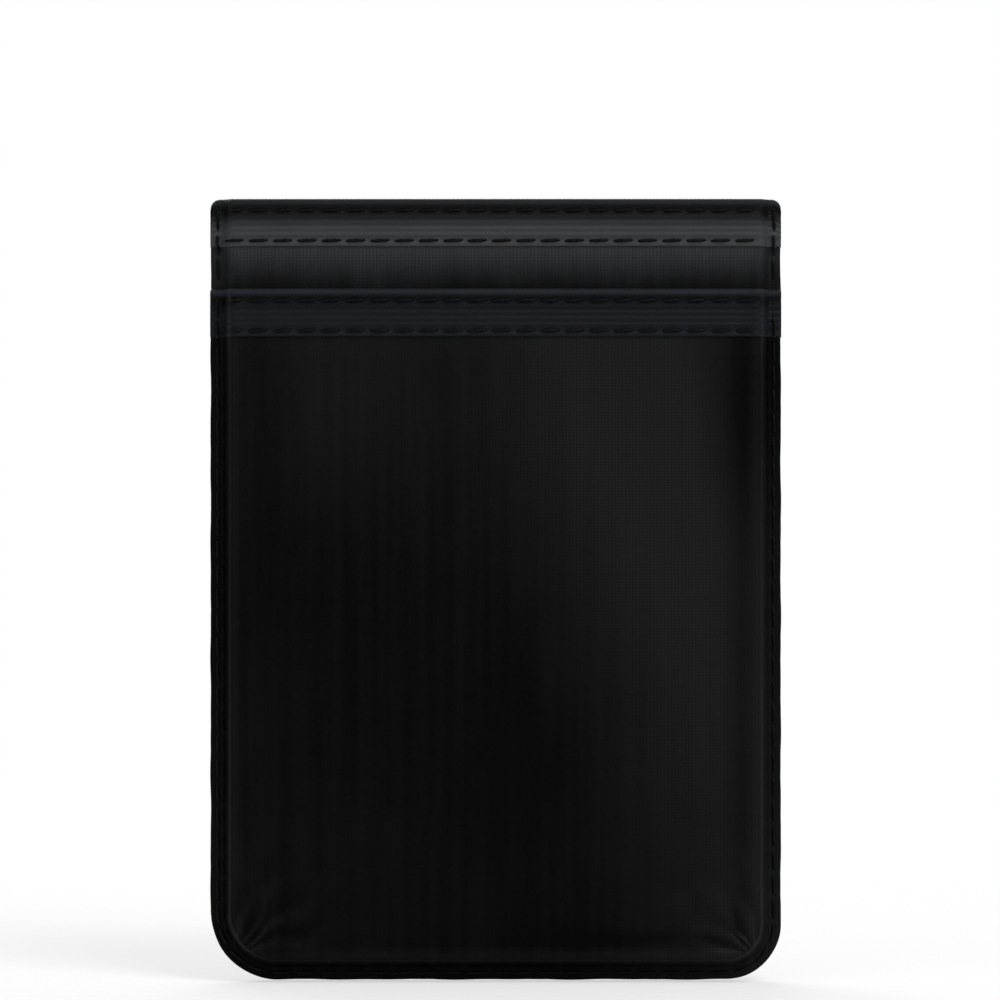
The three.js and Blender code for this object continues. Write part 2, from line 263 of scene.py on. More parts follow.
def mouth_pull(x, z, mouth):
    """Faint drag lines that run down and inward from the two ends of a mouth."""
    total = np.zeros_like(x)
    for sign in (-1, 1):
        inward = HALF_WIDTH - SEAM_INSET - sign * x
        down = mouth - BINDING_HEIGHT - z
        far = np.hypot(inward, down) + 1e-6
        angle = np.degrees(np.arctan2(down, inward))
        fade = (far / DRAG_REACH) * np.exp(1 - far / DRAG_REACH)
        for middle, width, height in DRAG_LINES:
            total += DRAG_HEIGHT * height * bell(angle - middle, width) * fade
    return total * (z < mouth - BINDING_HEIGHT + 1)


def room_edge(x, z):
    return smooth(inside_edge(x, z), SEAM_INSET, SIDE_MARGIN + 1.5)


class Pocket:
    """One pocket: where its mouth is, and how far forward its cloth stands."""

    def __init__(self, mouth, crown, phase, behind=None, top_radius=0.0):
        self.mouth = mouth
        self.crown = crown
        self.phase = phase
        self.behind = behind
        self.top_radius = top_radius

    def plain_back(self, x, z):
        own = binding_lift(x, z, self.mouth) + pocket_room(x, z, self.mouth, self.crown)
        if self.behind is None:
            return own
        under = self.behind.plain_back(x, z) + FABRIC + binding_lift(x, z, self.behind.mouth)
        return under + own

    def back(self, x, z):
        relief = soft_waves(x, z, self.phase) * room_edge(x, z) + mouth_pull(x, z, self.mouth)
        if self.behind is not None:
            relief = relief + corner_puckers(x, z) + welt(x, z)
        return self.plain_back(x, z) + relief

    def front(self, x, z):
        return self.back(x, z) + FABRIC

    def bent(self, x, z):
        """Height of a point once the rounded top corner has lowered the end of the mouth."""
        if self.top_radius == 0:
            return z
        across = np.clip(np.abs(x) - (HALF_WIDTH - self.top_radius), 0, self.top_radius)
        drop = self.top_radius - np.sqrt(self.top_radius ** 2 - across ** 2)
        low = self.mouth - BINDING_HEIGHT
        return z - drop * np.clip((z - low) / BINDING_HEIGHT, 0, 1)


REAR = Pocket(REAR_MOUTH, REAR_CROWN, 0.6, top_radius=TOP_RADIUS)
FRONT = Pocket(FRONT_MOUTH, FRONT_CROWN, 2.3, behind=REAR)


def binding_front(pocket, x, z):
    """Front of the elastic: ribs along its length, a groove at each row, and a dimple at each needle hole."""
    ribs = RIB_HEIGHT * np.cos(2 * np.pi * (pocket.mouth - z) / RIB_PITCH)
    groove = np.zeros_like(x)
    along = (x - MOUTH_ROW_START) / STITCH_PITCH
    to_hole = (along - np.round(along)) * STITCH_PITCH
    for drop in ROW_DROPS:
        away = z - (pocket.mouth - drop)
        groove = np.maximum(groove, GROOVE_DEPTH * bell(away, GROOVE_REACH)
                            + HOLE_DEPTH * bell(np.hypot(away, to_hole), HOLE_REACH))
    plain = ribs * (1 - np.clip(groove / GROOVE_DEPTH, 0, 1)) - groove
    return pocket.front(x, z) + BINDING + plain


# Mesh building


def make_object(name, points, faces, material):
    mesh = bpy.data.meshes.new(name)
    mesh.from_pydata((np.asarray(points) * MM).tolist(), [], faces)
    mesh.validate()
    mesh.update()
    mesh.shade_smooth()
    mesh.materials.append(material)
    piece = bpy.data.objects.new(name, mesh)
    bpy.context.scene.collection.objects.link(piece)
    return piece


def even(low, high, spacing):
    count = max(1, round(abs(high - low) / spacing))
    return np.linspace(low, high, count + 1)


def inset_steps(reach):
    """Distances inward from the sewn edge, close together at the rounded rim and where the cloth rises."""
    rim = [0.0, EDGE_ROUND * 0.25, EDGE_ROUND * 0.6, EDGE_ROUND, *RIM_STEPS]
    rise = list(np.arange(RISE_START, SIDE_MARGIN + RISE_REACH, RISE_STEP))
    inner = list(np.linspace(rise[-1], reach, INNER_STEPS + 1)[1:])
    return np.array(rim + rise + inner)


class Plan:
    """Points of a sheet in plan, and its faces: strips along the sewn edge round a plain grid.

    Each point holds its x and z, its distance from the edge, the way out and the length along the edge.
    """

    def __init__(self, top, spacing, extra_rows=()):
        rows = even(BOTTOM + LEFT_RADIUS + spacing, top, spacing)
        for height in extra_rows:
            rows = rows[np.abs(rows - height) > LEAST_STEP]
        rows = np.sort(np.concatenate([rows, extra_rows]))
        columns = even(-HALF_WIDTH + LEFT_RADIUS, HALF_WIDTH - RIGHT_RADIUS, spacing)
        share = (columns - columns[0]) / (columns[-1] - columns[0])
        reaches = LEFT_RADIUS + (RIGHT_RADIUS - LEFT_RADIUS) * share
        stations = self.edge(rows, columns, reaches, spacing)
        data = []
        for x, z, in_x, in_z, reach, along in stations:
            inset = inset_steps(reach)
            line = np.stack([x + in_x * inset, z + in_z * inset, inset,
                             np.full_like(inset, -in_x), np.full_like(inset, -in_z),
                             np.full_like(inset, along)], axis=1)
            data.append(line)
        edge = np.array(data)
        heights = np.concatenate([np.zeros(1), rows])
        core_x = np.repeat(columns[:, None], len(heights), axis=1)
        core_z = np.repeat(heights[None, :], len(columns), axis=0)
        core_z[:, 0] = BOTTOM + reaches
        core = np.zeros((len(columns), len(heights), 6))
        core[..., 0] = core_x
        core[..., 1] = core_z
        core[..., 2] = DEEP_INSIDE
        flat = np.concatenate([edge.reshape(-1, 6), core.reshape(-1, 6)])
        keys = np.round(flat[:, :2], 4)
        _, first, back = np.unique(keys, axis=0, return_index=True, return_inverse=True)
        back = back.reshape(-1)
        self.nodes = flat[first]
        edge_ids = back[: edge.shape[0] * edge.shape[1]].reshape(edge.shape[:2])
        core_ids = back[edge.shape[0] * edge.shape[1]:].reshape(core.shape[:2])
        self.faces = self.quads(edge_ids) + self.quads(core_ids)
        self.rim = self.boundary(self.faces)

    @staticmethod
    def edge(rows, columns, reaches, spacing):
        """Stations down the left side, round the bottom and up the right, with the way inward."""
        stations = []
        side_length = rows[-1] - rows[0]
        for z in rows[::-1]:
            stations.append((-HALF_WIDTH, z, 1.0, 0.0, LEFT_RADIUS, rows[-1] - z))
        steps = max(8, round(LEFT_RADIUS * math.pi / 2 / (spacing * 0.6)))
        for i in range(steps):
            angle = i / steps * math.pi / 2
            c, s = math.cos(angle), math.sin(angle)
            stations.append((-HALF_WIDTH + LEFT_RADIUS * (1 - c), BOTTOM + LEFT_RADIUS * (1 - s),
                             c, s, LEFT_RADIUS, side_length + LEFT_RADIUS * angle))
        start = side_length + LEFT_RADIUS * math.pi / 2
        for x, reach in zip(columns, reaches):
            stations.append((x, BOTTOM, 0.0, 1.0, reach, start + x - columns[0]))
        start += columns[-1] - columns[0]
        for i in range(steps - 1, -1, -1):
            angle = i / steps * math.pi / 2
            c, s = math.cos(angle), math.sin(angle)
            stations.append((HALF_WIDTH - RIGHT_RADIUS * (1 - c), BOTTOM + RIGHT_RADIUS * (1 - s),
                             -c, s, RIGHT_RADIUS, start + RIGHT_RADIUS * (math.pi / 2 - angle)))
        start += RIGHT_RADIUS * math.pi / 2
        for z in rows:
            stations.append((HALF_WIDTH, z, -1.0, 0.0, RIGHT_RADIUS, start + z - rows[0]))
        return stations

    @staticmethod
    def quads(ids):
        """Faces of a grid of point numbers, with the collapsed ones as triangles."""
        a, b, c, d = ids[:-1, :-1], ids[1:, :-1], ids[1:, 1:], ids[:-1, 1:]
        faces = []
        for quad in np.stack([a, b, c, d], axis=-1).reshape(-1, 4).tolist():
            face = [v for i, v in enumerate(quad) if v != quad[i - 1]]
            if len(set(face)) >= 3:
                faces.append(face)
        return faces

    @staticmethod
    def boundary(faces):
        sides = set()
        for face in faces:
            for i, end in enumerate(face):
                sides.add((face[i - 1], end))
        return [(a, b) for a, b in sides if (b, a) not in sides]


def front_painted_sheen(x, z):
    """Painted sheen on the black front cloth: painted highlight in a slanting band on its right and on its
    top.
    """
    down = (FRONT_MOUTH - BINDING_HEIGHT - z) / (FRONT_MOUTH - BINDING_HEIGHT - BOTTOM)
    highlight_band = bell(x - (13 + 15 * down), 8 + 3 * (x < 13 + 15 * down)) * (0.95 - 0.35 * down)
    top = 0.36 * smooth(-down, -0.5, 0.0) * smooth(HALF_WIDTH - np.abs(x), 2, 12)
    edge = inside_edge(x, z)
    # painted highlight on the welt, and painted shade in the dip inside it on the right half
    rim = 0.3 * bell(edge - WELT_INSET, 0.55) - 0.3 * welt_dip(x, z) * smooth(x, 0, 15)
    # painted highlight and painted shade that follow the corner creases and the waves
    crease_light_and_shade = 2.2 * corner_puckers(x, z) + 1.1 * soft_waves(x, z, 2.3)
    return np.clip(highlight_band + top + rim + crease_light_and_shade + 0.04, 0, 1.2)


def rear_painted_shade(x, z):
    """The rear cloth is palest under its elastic, with painted shade that darkens it down towards the front
    mouth; it is also darker towards the two sides.
    """
    ends = smooth(HALF_WIDTH - np.abs(x), 0.8, 3.2)
    return smooth(z, FRONT_MOUTH + 0.2, REAR_MOUTH - 4.0) * (0.35 + 0.65 * ends)


def even_tone(x, z):
    return np.full_like(x, 0.5)


def sheet_object(name, plan, back, front, material, waver_phase, painted_light=even_tone, bent=None):
    """Closed sheet between two depths, with a rounded and slightly uneven cut edge."""
    x, z, inset, out_x, out_z, along = plan.nodes.T
    near = np.clip(1 - inset / EDGE_ROUND, 0, 1) ** 2
    swing = np.sin(along * 0.8 + waver_phase) * np.sin(along * 0.23 + 2 * waver_phase)
    waver = CUT_EDGE_WAVER * (swing - 0.4) * np.clip(1 - inset / WAVER_REACH, 0, 1)
    front_depth, back_depth = front(x, z), back(x, z)
    pinch = near * (front_depth - back_depth) * EDGE_PINCH
    px, pz = x + out_x * waver, z + out_z * waver
    if bent is not None:
        pz = bent(px, pz)
    layers = [np.stack([px, BACK_FRONT_Y - front_depth + pinch, pz], axis=1),
              np.stack([px, BACK_FRONT_Y - back_depth - pinch, pz], axis=1)]
    count = len(x)
    faces = list(plan.faces)
    faces += [[v + count for v in reversed(face)] for face in plan.faces]
    faces += [[b, a, a + count, b + count] for a, b in plan.rim]
    piece = make_object(name, np.concatenate(layers), faces, material)
    # painted light per point, which the cloth's material mixes into its colour
    painted_light_layer = piece.data.attributes.new(PAINTED_LIGHT, "FLOAT", "POINT")
    painted_light_layer.data.foreach_set("value", np.tile(painted_light(x, z), 2).astype(np.float32))
    return piece


def loft_object(name, rings, material):
    """Closed skin through equal rings of points, with a face on each end."""
    count, size = rings.shape[:2]
    ids = np.arange(count * size).reshape(count, size)
    nxt = np.roll(ids, -1, axis=1)
    faces = np.stack([ids[:-1], ids[1:], nxt[1:], nxt[:-1]], axis=-1).reshape(-1, 4).tolist()
    faces.append(ids[0].tolist())
    faces.append(ids[-1][::-1].tolist())
    return make_object(name, rings.reshape(-1, 3), faces, material)


def binding_object(name, pocket, material):
    """Elastic strip folded over the top of a pocket's cloth."""
    low = pocket.mouth - BINDING_HEIGHT
    fold_radius = FABRIC / 2 + BINDING
    fold_z = pocket.mouth - fold_radius
    ends = np.array(STRIP_END_STEPS)
    xs = np.concatenate([
        -HALF_WIDTH + ends,
        even(-HALF_WIDTH + STRIP_END_GAP, HALF_WIDTH - STRIP_END_GAP, STRIP_COLUMN),
        HALF_WIDTH - ends[::-1],
    ])
    outer = even(low, fold_z, STRIP_ROW)
    inner = np.array([pocket.mouth - BINDING, low])
    behind = even(fold_z, low, STRIP_BACK_ROW)
    rings = []
    for x in xs:
        end = np.clip(1 - (HALF_WIDTH - abs(x)) / STRIP_END_ROUND, 0, 1) ** 2
        pinch = STRIP_END_PINCH * end
        fx = np.full_like(outer, x)
        front = binding_front(pocket, fx, outer) - pinch
        round_low = STRIP_HEM_ROUND * bell(outer - low, STRIP_HEM_REACH)
        ring = [(x, -d, z) for d, z in zip(front - round_low, outer)]
        top_front = front[-1]
        top_back = pocket.back(np.array([x]), np.array([fold_z]))[0] - BINDING + pinch
        for i in range(1, FOLD_STEPS):
            angle = i / FOLD_STEPS * math.pi
            depth = (top_front + top_back) / 2 + (top_front - top_back) / 2 * math.cos(angle)
            ring.append((x, -depth, fold_z + (fold_radius - pinch) * math.sin(angle)))
        back = pocket.back(np.full_like(behind, x), behind) - BINDING + pinch
        ring += [(x, -d, z) for d, z in zip(back, behind)]
        inside_back = pocket.back(np.full(2, x), inner[::-1])
        ring += [(x, -d, z) for d, z in zip(inside_back, inner[::-1])]
        inside_front = pocket.front(np.full(2, x), inner)
        ring += [(x, -d, z) for d, z in zip(inside_front, inner)]
        rings.append(ring)
    rings = np.array(rings)
    rings[..., 2] = pocket.bent(rings[..., 0], rings[..., 2])
    rings[..., 1] += BACK_FRONT_Y
    return loft_object(name, rings, material)


class Path:
    """Line of stitches in plan, with points looked up by the length along it."""

    def __init__(self, points):
        self.points = np.asarray(points, float)
        steps = np.hypot(*np.diff(self.points, axis=0).T)
        self.along = np.concatenate([np.zeros(1), np.cumsum(steps)])
        self.length = self.along[-1]

    def at(self, s):
        return (np.interp(s, self.along, self.points[:, 0]),
                np.interp(s, self.along, self.points[:, 1]))


def stitch_row(name, path, depth_at, material, outward=1.0, base_y=BACK_FRONT_Y):
    """Row of separate two-ply stitches, each diving into the cloth at both ends."""
    sides, slices = STITCH_SIDES, STITCH_SLICES
    turn = np.linspace(0, 2 * math.pi, sides, endpoint=False)
    points, faces = [], []
    count = int(path.length / STITCH_PITCH + 1e-6)
    for n in range(count):
        start = n * STITCH_PITCH + STITCH_GAP / 2
        stop = (n + 1) * STITCH_PITCH - STITCH_GAP / 2
        u = np.linspace(0, 1, slices)
        s = start + (stop - start) * u
        x, z = path.at(s)
        ahead_x, ahead_z = path.at(s + TANGENT_STEP)
        behind_x, behind_z = path.at(s - TANGENT_STEP)
        run_x, run_z = ahead_x - behind_x, ahead_z - behind_z
        run = np.hypot(run_x, run_z) + 1e-9
        side_x, side_z = -run_z / run, run_x / run
        lean = STITCH_LEAN * (2 * u - 1)
        x, z = x + side_x * lean, z + side_z * lean
        arch = 1 - np.abs(2 * u - 1) ** STITCH_SQUARENESS
        lift = STITCH_STAND * arch - STITCH_SINK * (1 - arch)
        depth = depth_at(x, z) + outward * lift
        radius = THREAD_RADIUS * (STITCH_END_SHARE + (1 - STITCH_END_SHARE) * arch ** 0.5)
        base = len(points)
        for i in range(slices):
            ply = 1 + PLY_RELIEF * np.cos(2 * (turn - PLY_TURN * u[i] - n))
            across = radius[i] * ply * np.cos(turn)
            out = radius[i] * ply * np.sin(turn)
            ring = np.stack([x[i] + side_x[i] * across,
                             base_y - depth[i] - outward * out,
                             z[i] + side_z[i] * across], axis=1)
            points.extend(ring.tolist())
        for i in range(slices - 1):
            for j in range(sides):
                k = (j + 1) % sides
                a, b = base + i * sides + j, base + (i + 1) * sides + j
                c, d = base + (i + 1) * sides + k, base + i * sides + k
                faces.append([a, b, c, d] if outward > 0 else [d, c, b, a])
        first = [base + j for j in range(sides)]
        last = [base + (slices - 1) * sides + j for j in range(sides)]
        faces.append(first if outward > 0 else first[::-1])
        faces.append(last[::-1] if outward > 0 else last)
    return make_object(name, points, faces, material)


def round_edge_path(top, inset):
    """Line at a fixed distance inside the sewn edge, from one side's top round the bottom to the other's."""
    points = [(-HALF_WIDTH + inset, z) for z in np.arange(top, BOTTOM + LEFT_RADIUS, -SEAM_PATH_STEP)]
    for sign, radius, angles in ((-1, LEFT_RADIUS, np.linspace(0, 1, CORNER_PATH_POINTS)),
                                 (1, RIGHT_RADIUS, np.linspace(1, 0, CORNER_PATH_POINTS))):
        for share in angles:
            angle = share * math.pi / 2
            points.append((sign * (HALF_WIDTH - radius + (radius - inset) * math.cos(angle)),
                           BOTTOM + radius - (radius - inset) * math.sin(angle)))
    points += [(HALF_WIDTH - inset, z) for z in np.arange(BOTTOM + RIGHT_RADIUS, top, SEAM_PATH_STEP)]
    return Path(points)


def sewn_front(pocket):
    """Depth that the edge seam lies on: the cloth, and above it the elastic."""
    low = pocket.mouth - BINDING_HEIGHT

    def depth(x, z):
        on_binding = smooth(z, low - SEAM_CLIMB, low)
        return pocket.front(x, z) + (BINDING + SEAM_STAND) * on_binding
    return depth


# Materials. Periods and bump heights in them are in metres, and noise scales are per metre.

ELASTIC_ROUGHNESS = 0.42


class Material:
    """A node material with short calls for what its texture is made of."""

    def __init__(self, name):
        self.material = bpy.data.materials.new(name)
        self.material.use_nodes = True
        self.tree = self.material.node_tree
        self.shader = self.tree.nodes["Principled BSDF"]
        self.coordinates = self.tree.nodes.new("ShaderNodeTexCoord")
        split = self.tree.nodes.new("ShaderNodeSeparateXYZ")
        self.tree.links.new(self.coordinates.outputs["Object"], split.inputs[0])
        self.x, self.y, self.z = (split.outputs[i] for i in range(3))

    def math(self, operation, *values):
        node = self.tree.nodes.new("ShaderNodeMath")
        node.operation = operation
        for i, value in enumerate(values):
            if isinstance(value, (int, float)):
                node.inputs[i].default_value = value
            else:
                self.tree.links.new(value, node.inputs[i])
        return node.outputs[0]

    def sine(self, value, period, shift=0.0):
        turned = self.math("MULTIPLY_ADD", value, 2 * math.pi / period, shift)
        return self.math("SINE", turned)

    def attribute(self, name):
        node = self.tree.nodes.new("ShaderNodeAttribute")
        node.attribute_name = name
        return node.outputs["Fac"]

    def cells(self, scale):
        """Distance from the nearest of a scatter of points, as a share of their spacing."""
        node = self.tree.nodes.new("ShaderNodeTexVoronoi")
        node.inputs["Scale"].default_value = scale
        self.tree.links.new(self.coordinates.outputs["Object"], node.inputs["Vector"])
        return node.outputs["Distance"]

    def noise(self, scale, detail=2.0, roughness=0.5, stretch=None):
        node = self.tree.nodes.new("ShaderNodeTexNoise")
        node.inputs["Scale"].default_value = scale
        node.inputs["Detail"].default_value = detail
        node.inputs["Roughness"].default_value = roughness
        source = self.coordinates.outputs["Object"]
        if stretch is not None:
            mapping = self.tree.nodes.new("ShaderNodeMapping")
            mapping.inputs["Scale"].default_value = stretch
            self.tree.links.new(source, mapping.inputs["Vector"])
            source = mapping.outputs["Vector"]
        self.tree.links.new(source, node.inputs["Vector"])
        return node.outputs["Fac"]

    def blend(self, factor, low, high):
        node = self.tree.nodes.new("ShaderNodeMix")
        node.data_type = "RGBA"
        self.tree.links.new(factor, node.inputs["Factor"])
        for socket, value in (("A", low), ("B", high)):
            target = next(i for i in node.inputs if i.name == socket and i.type == "RGBA")
            if isinstance(value, (tuple, list)):
                target.default_value = (*value, 1.0)
            else:
                self.tree.links.new(value, target)
        return next(o for o in node.outputs if o.type == "RGBA")

    def remap(self, value, from_low, from_high, to_low=0.0, to_high=1.0, soft=False):
        node = self.tree.nodes.new("ShaderNodeMapRange")
        if soft:
            node.interpolation_type = "SMOOTHSTEP"
        self.tree.links.new(value, node.inputs["Value"])
        for name, number in (("From Min", from_low), ("From Max", from_high),
                             ("To Min", to_low), ("To Max", to_high)):
            node.inputs[name].default_value = number
        return node.outputs["Result"]

    def bump(self, height, distance, strength, under=None):
        node = self.tree.nodes.new("ShaderNodeBump")
        node.inputs["Distance"].default_value = distance
        node.inputs["Strength"].default_value = strength
        self.tree.links.new(height, node.inputs["Height"])
        if under is not None:
            self.tree.links.new(under, node.inputs["Normal"])
        return node.outputs["Normal"]

    def set(self, **values):
        for name, value in values.items():
            socket = self.shader.inputs[name.replace("_", " ")]
            if isinstance(value, (int, float)):
                socket.default_value = value
            elif isinstance(value, tuple):
                socket.default_value = (*value, 1.0)
            else:
                self.tree.links.new(value, socket)


def knit_height(mat, wale, course):
    """Height of a plain jersey knit: columns of small V-shaped loops."""
    column = mat.math("ABSOLUTE", mat.sine(mat.x, 2 * wale))
    slant = mat.math("MULTIPLY", column, 1.9)
    turned = mat.math("MULTIPLY_ADD", mat.z, 2 * math.pi / course, slant)
    loops = mat.math("SINE", turned)
    return mat.math("MULTIPLY_ADD", loops, 0.35, column)


def knit_material(name, dark, light, rough, sheen, wale, course, bump, specular):
    """Stretch knit: fine columns of loops, faint uneven streaks along them, and a little lint."""
    mat = Material(name)
    knit = knit_height(mat, wale, course)
    cloud = mat.noise(55, 3, 0.55)
    lint = mat.noise(1500, 2, 0.6)
    streak = mat.noise(700, 2, 0.6, (1, 1, 0.03))
    mottle = mat.math("MULTIPLY_ADD", lint, 0.35, cloud)
    patches = mat.remap(mottle, 0.42, 0.95, -0.1, 0.14)
    lines = mat.remap(streak, 0.3, 0.7, -0.07, 0.1)
    uneven = mat.math("ADD", patches, lines)
    # painted light from the point attribute, added to the random patches and streaks
    shade = mat.math("ADD", mat.attribute(PAINTED_LIGHT), uneven)
    colour = mat.blend(shade, dark, light)
    loops = mat.remap(knit, -0.35, 1.35, 0.0, 1.0)
    # painted shade: the colour darkens in the low parts between the knit's loops
    recess_shade = tuple(c * 0.55 for c in dark)
    colour = mat.blend(mat.remap(loops, 0, 0.45, 0, 1), recess_shade, colour)
    roughness = mat.remap(streak, 0.3, 0.7, rough - 0.06, rough + 0.06)
    normal = mat.bump(knit, 0.00005, bump)
    normal = mat.bump(cloud, 0.0006, 0.12, normal)
    normal = mat.bump(streak, 0.00012, 0.2, normal)
    mat.set(Base_Color=colour, Roughness=roughness, Normal=normal,
            Sheen_Weight=sheen, Sheen_Roughness=0.42, Sheen_Tint=(0.8, 0.83, 0.9),
            Specular_IOR_Level=specular)
    return mat.material


def elastic_material(name, mouth, dark, light, fold_highlight_share, band_highlight_share, sheen, specular, highlight_drops):
    """Woven elastic: fine yarns across the strip, over the ribs that the mesh has along it.

    Its colour carries painted light: a painted highlight on its fold, painted shade round the first row, and
    a painted highlight again that comes in between two drops below that.
    """
    mat = Material(name)
    highlight_from, highlight_to = highlight_drops
    yarn = mat.sine(mat.x, 0.00042)
    weft = mat.sine(mat.z, 0.00031)
    weave = mat.math("MULTIPLY", yarn, weft)
    cloud = mat.noise(90, 3, 0.6, (1, 1, 2.5))
    mottle = mat.remap(mat.math("MULTIPLY_ADD", weave, 0.2, cloud), 0.3, 0.75, -0.18, 0.18)
    # painted highlight below the lower drop, fading out to painted shade above the upper one
    body = mat.remap(mat.z, (mouth - highlight_to) * MM, (mouth - highlight_from) * MM, band_highlight_share, 0.0, soft=True)
    # painted highlight along the fold
    fold_highlight = mat.remap(mat.z, (mouth - 1.0) * MM, (mouth - 0.25) * MM, 0.0, fold_highlight_share, soft=True)
    shade = mat.math("MULTIPLY", mat.math("ADD", body, fold_highlight), mat.math("ADD", mottle, 1.0))
    colour = mat.blend(shade, dark, light)
    roughness = mat.remap(cloud, 0.3, 0.7, ELASTIC_ROUGHNESS - 0.05, ELASTIC_ROUGHNESS + 0.07)
    normal = mat.bump(weave, 0.00005, 0.45)
    mat.set(Base_Color=colour, Roughness=roughness, Normal=normal,
            Sheen_Weight=sheen, Sheen_Roughness=0.35, Sheen_Tint=(0.8, 0.86, 0.95),
            Specular_IOR_Level=specular)
    return mat.material


def thread_material(name, dark, light):
    mat = Material(name)
    fibre = mat.noise(5200, 3, 0.65)
    colour = mat.blend(fibre, dark, light)
    normal = mat.bump(fibre, 0.00003, 0.5)
    mat.set(Base_Color=colour, Roughness=mat.remap(fibre, 0.3, 0.7, 0.38, 0.52), Normal=normal,
            Sheen_Weight=0.02, Sheen_Roughness=0.3, Specular_IOR_Level=0.1)
    return mat.material


def adhesive_material(name):
    """Clear tacky film over black cloth: smoky, glossy, with faint waves and specks of trapped air."""
    mat = Material(name)
    waves = mat.noise(45, 1, 0.4)
    weave = mat.math("MULTIPLY", mat.sine(mat.x, 0.0007), mat.sine(mat.z, 0.0007))
    bubble = mat.remap(mat.cells(230), 0.045, 0.075, 1.0, 0.0, soft=True)
    milky = mat.math("ADD", mat.remap(waves, 0.35, 0.65, 0.2, 0.55), mat.math("MULTIPLY", weave, 0.14))
    colour = mat.blend(milky, (0.028, 0.029, 0.03), (0.06, 0.062, 0.062))
    colour = mat.blend(mat.math("MULTIPLY", bubble, 0.28), colour, (0.13, 0.133, 0.13))
    normal = mat.bump(waves, 0.003, 0.4)
    normal = mat.bump(weave, 0.00003, 0.3, normal)
    normal = mat.bump(bubble, 0.00006, 0.4, normal)
    mat.set(Base_Color=colour, Roughness=mat.remap(waves, 0.3, 0.7, 0.15, 0.24), Normal=normal,
            Specular_IOR_Level=0.4, Coat_Weight=0.3, Coat_Roughness=0.06)
    return mat.material


FRONT_FABRIC = knit_material(
    "front_fabric", dark=(0.0004, 0.0004, 0.0005), light=(0.0105, 0.0107, 0.0112),
    rough=0.42, sheen=0.01, wale=0.00036, course=0.0003, bump=0.3, specular=0.05)
REAR_FABRIC = knit_material(
    "rear_fabric", dark=(0.003, 0.0033, 0.0037), light=(0.034, 0.037, 0.039),
    rough=0.48, sheen=0.02, wale=0.00036, course=0.0003, bump=0.35, specular=0.1)
BACK_FABRIC = knit_material(
    "back_fabric", dark=(0.003, 0.003, 0.0033), light=(0.009, 0.009, 0.01),
    rough=0.7, sheen=0.06, wale=0.0005, course=0.0004, bump=0.5, specular=0.12)
REAR_ELASTIC = elastic_material(
    "rear_elastic", REAR_MOUTH, dark=(0.0015, 0.0018, 0.0022), light=(0.041, 0.044, 0.046),
    fold_highlight_share=0.22, band_highlight_share=1.0, sheen=0.02, specular=0.1, highlight_drops=(1.4, 3.4))
FRONT_ELASTIC = elastic_material(
    "front_elastic", FRONT_MOUTH, dark=(0.0012, 0.0017, 0.0023), light=(0.014, 0.0175, 0.022),
    fold_highlight_share=0.85, band_highlight_share=0.38, sheen=0.015, specular=0.08, highlight_drops=(1.2, 2.6))
THREAD = thread_material("thread", (0.0004, 0.0004, 0.0005), (0.0018, 0.0018, 0.002))
ADHESIVE = adhesive_material("adhesive")


# Camera, light and floor, in metres

FLOOR_REACH = 3.0
FLOOR_GAP = 0.0002


def make_camera():
    scale = (HOLDER_RIGHT_PX - HOLDER_LEFT_PX) / (2 * HALF_WIDTH)
    middle = FRAME_PIXELS / 2
    centre_px = (HOLDER_LEFT_PX + HOLDER_RIGHT_PX) / 2
    view_x = (middle - centre_px) / scale
    view_z = BOTTOM + (HOLDER_BOTTOM_PX - middle) / scale
    camera = bpy.data.cameras.new("camera")
    camera.lens = LENS
    camera.sensor_width = SENSOR
    camera.clip_start = CLIP_NEAR
    camera.clip_end = CLIP_FAR
    away = FRAME_PIXELS / scale * LENS / SENSOR
    item = bpy.data.objects.new("camera", camera)
    item.location = (view_x * MM, (BACK_FRONT_Y - FABRIC - away) * MM, view_z * MM)
    item.rotation_euler = (math.pi / 2, 0, 0)
    bpy.context.scene.collection.objects.link(item)
    bpy.context.scene.camera = item


def area_light(name, place, target, size, power):
    light = bpy.data.lights.new(name, "AREA")
    light.shape = "RECTANGLE"
    light.size, light.size_y = size
    light.energy = power
    item = bpy.data.objects.new(name, light)
    item.location = place
    aim = np.array(target) - np.array(place)
    pitch = math.atan2(math.hypot(aim[0], aim[1]), -aim[2])
    item.rotation_euler = (pitch, 0, math.atan2(-aim[0], aim[1]))
    bpy.context.scene.collection.objects.link(item)


def make_lights():
    area_light("key", place=(0.2, -0.3, 0.36), target=(0, 0, 0.01), size=(0.24, 0.24), power=1.3)
    area_light("fill", place=(-0.5, -0.4, 0.2), target=(0, 0, 0), size=(0.35, 0.35), power=0.45)
    area_light("back", place=(-0.1, 0.5, 0.4), target=(0, 0, 0), size=(0.5, 0.3), power=2.0)


def make_world():
    """Grey light for the object, and plain white where the camera sees past it."""
    world = bpy.data.worlds.new("world")
    world.use_nodes = True
    nodes, links = world.node_tree.nodes, world.node_tree.links
    background = nodes["Background"]
    path = nodes.new("ShaderNodeLightPath")
    direction = nodes.new("ShaderNodeTexCoord")
    split = nodes.new("ShaderNodeSeparateXYZ")
    links.new(direction.outputs["Generated"], split.inputs[0])
    dome = nodes.new("ShaderNodeMapRange")
    for name, value in (("From Min", -0.1), ("From Max", 0.9), ("To Min", 0.15), ("To Max", 0.7)):
        dome.inputs[name].default_value = value
    links.new(split.outputs["Z"], dome.inputs["Value"])
    level = nodes.new("ShaderNodeMix")
    links.new(path.outputs["Is Camera Ray"], level.inputs["Factor"])
    links.new(dome.outputs["Result"], level.inputs["A"])
    level.inputs["B"].default_value = 1.0
    links.new(level.outputs["Result"], background.inputs["Strength"])
    background.inputs["Color"].default_value = (1, 1, 1, 1)
    bpy.context.scene.world = world


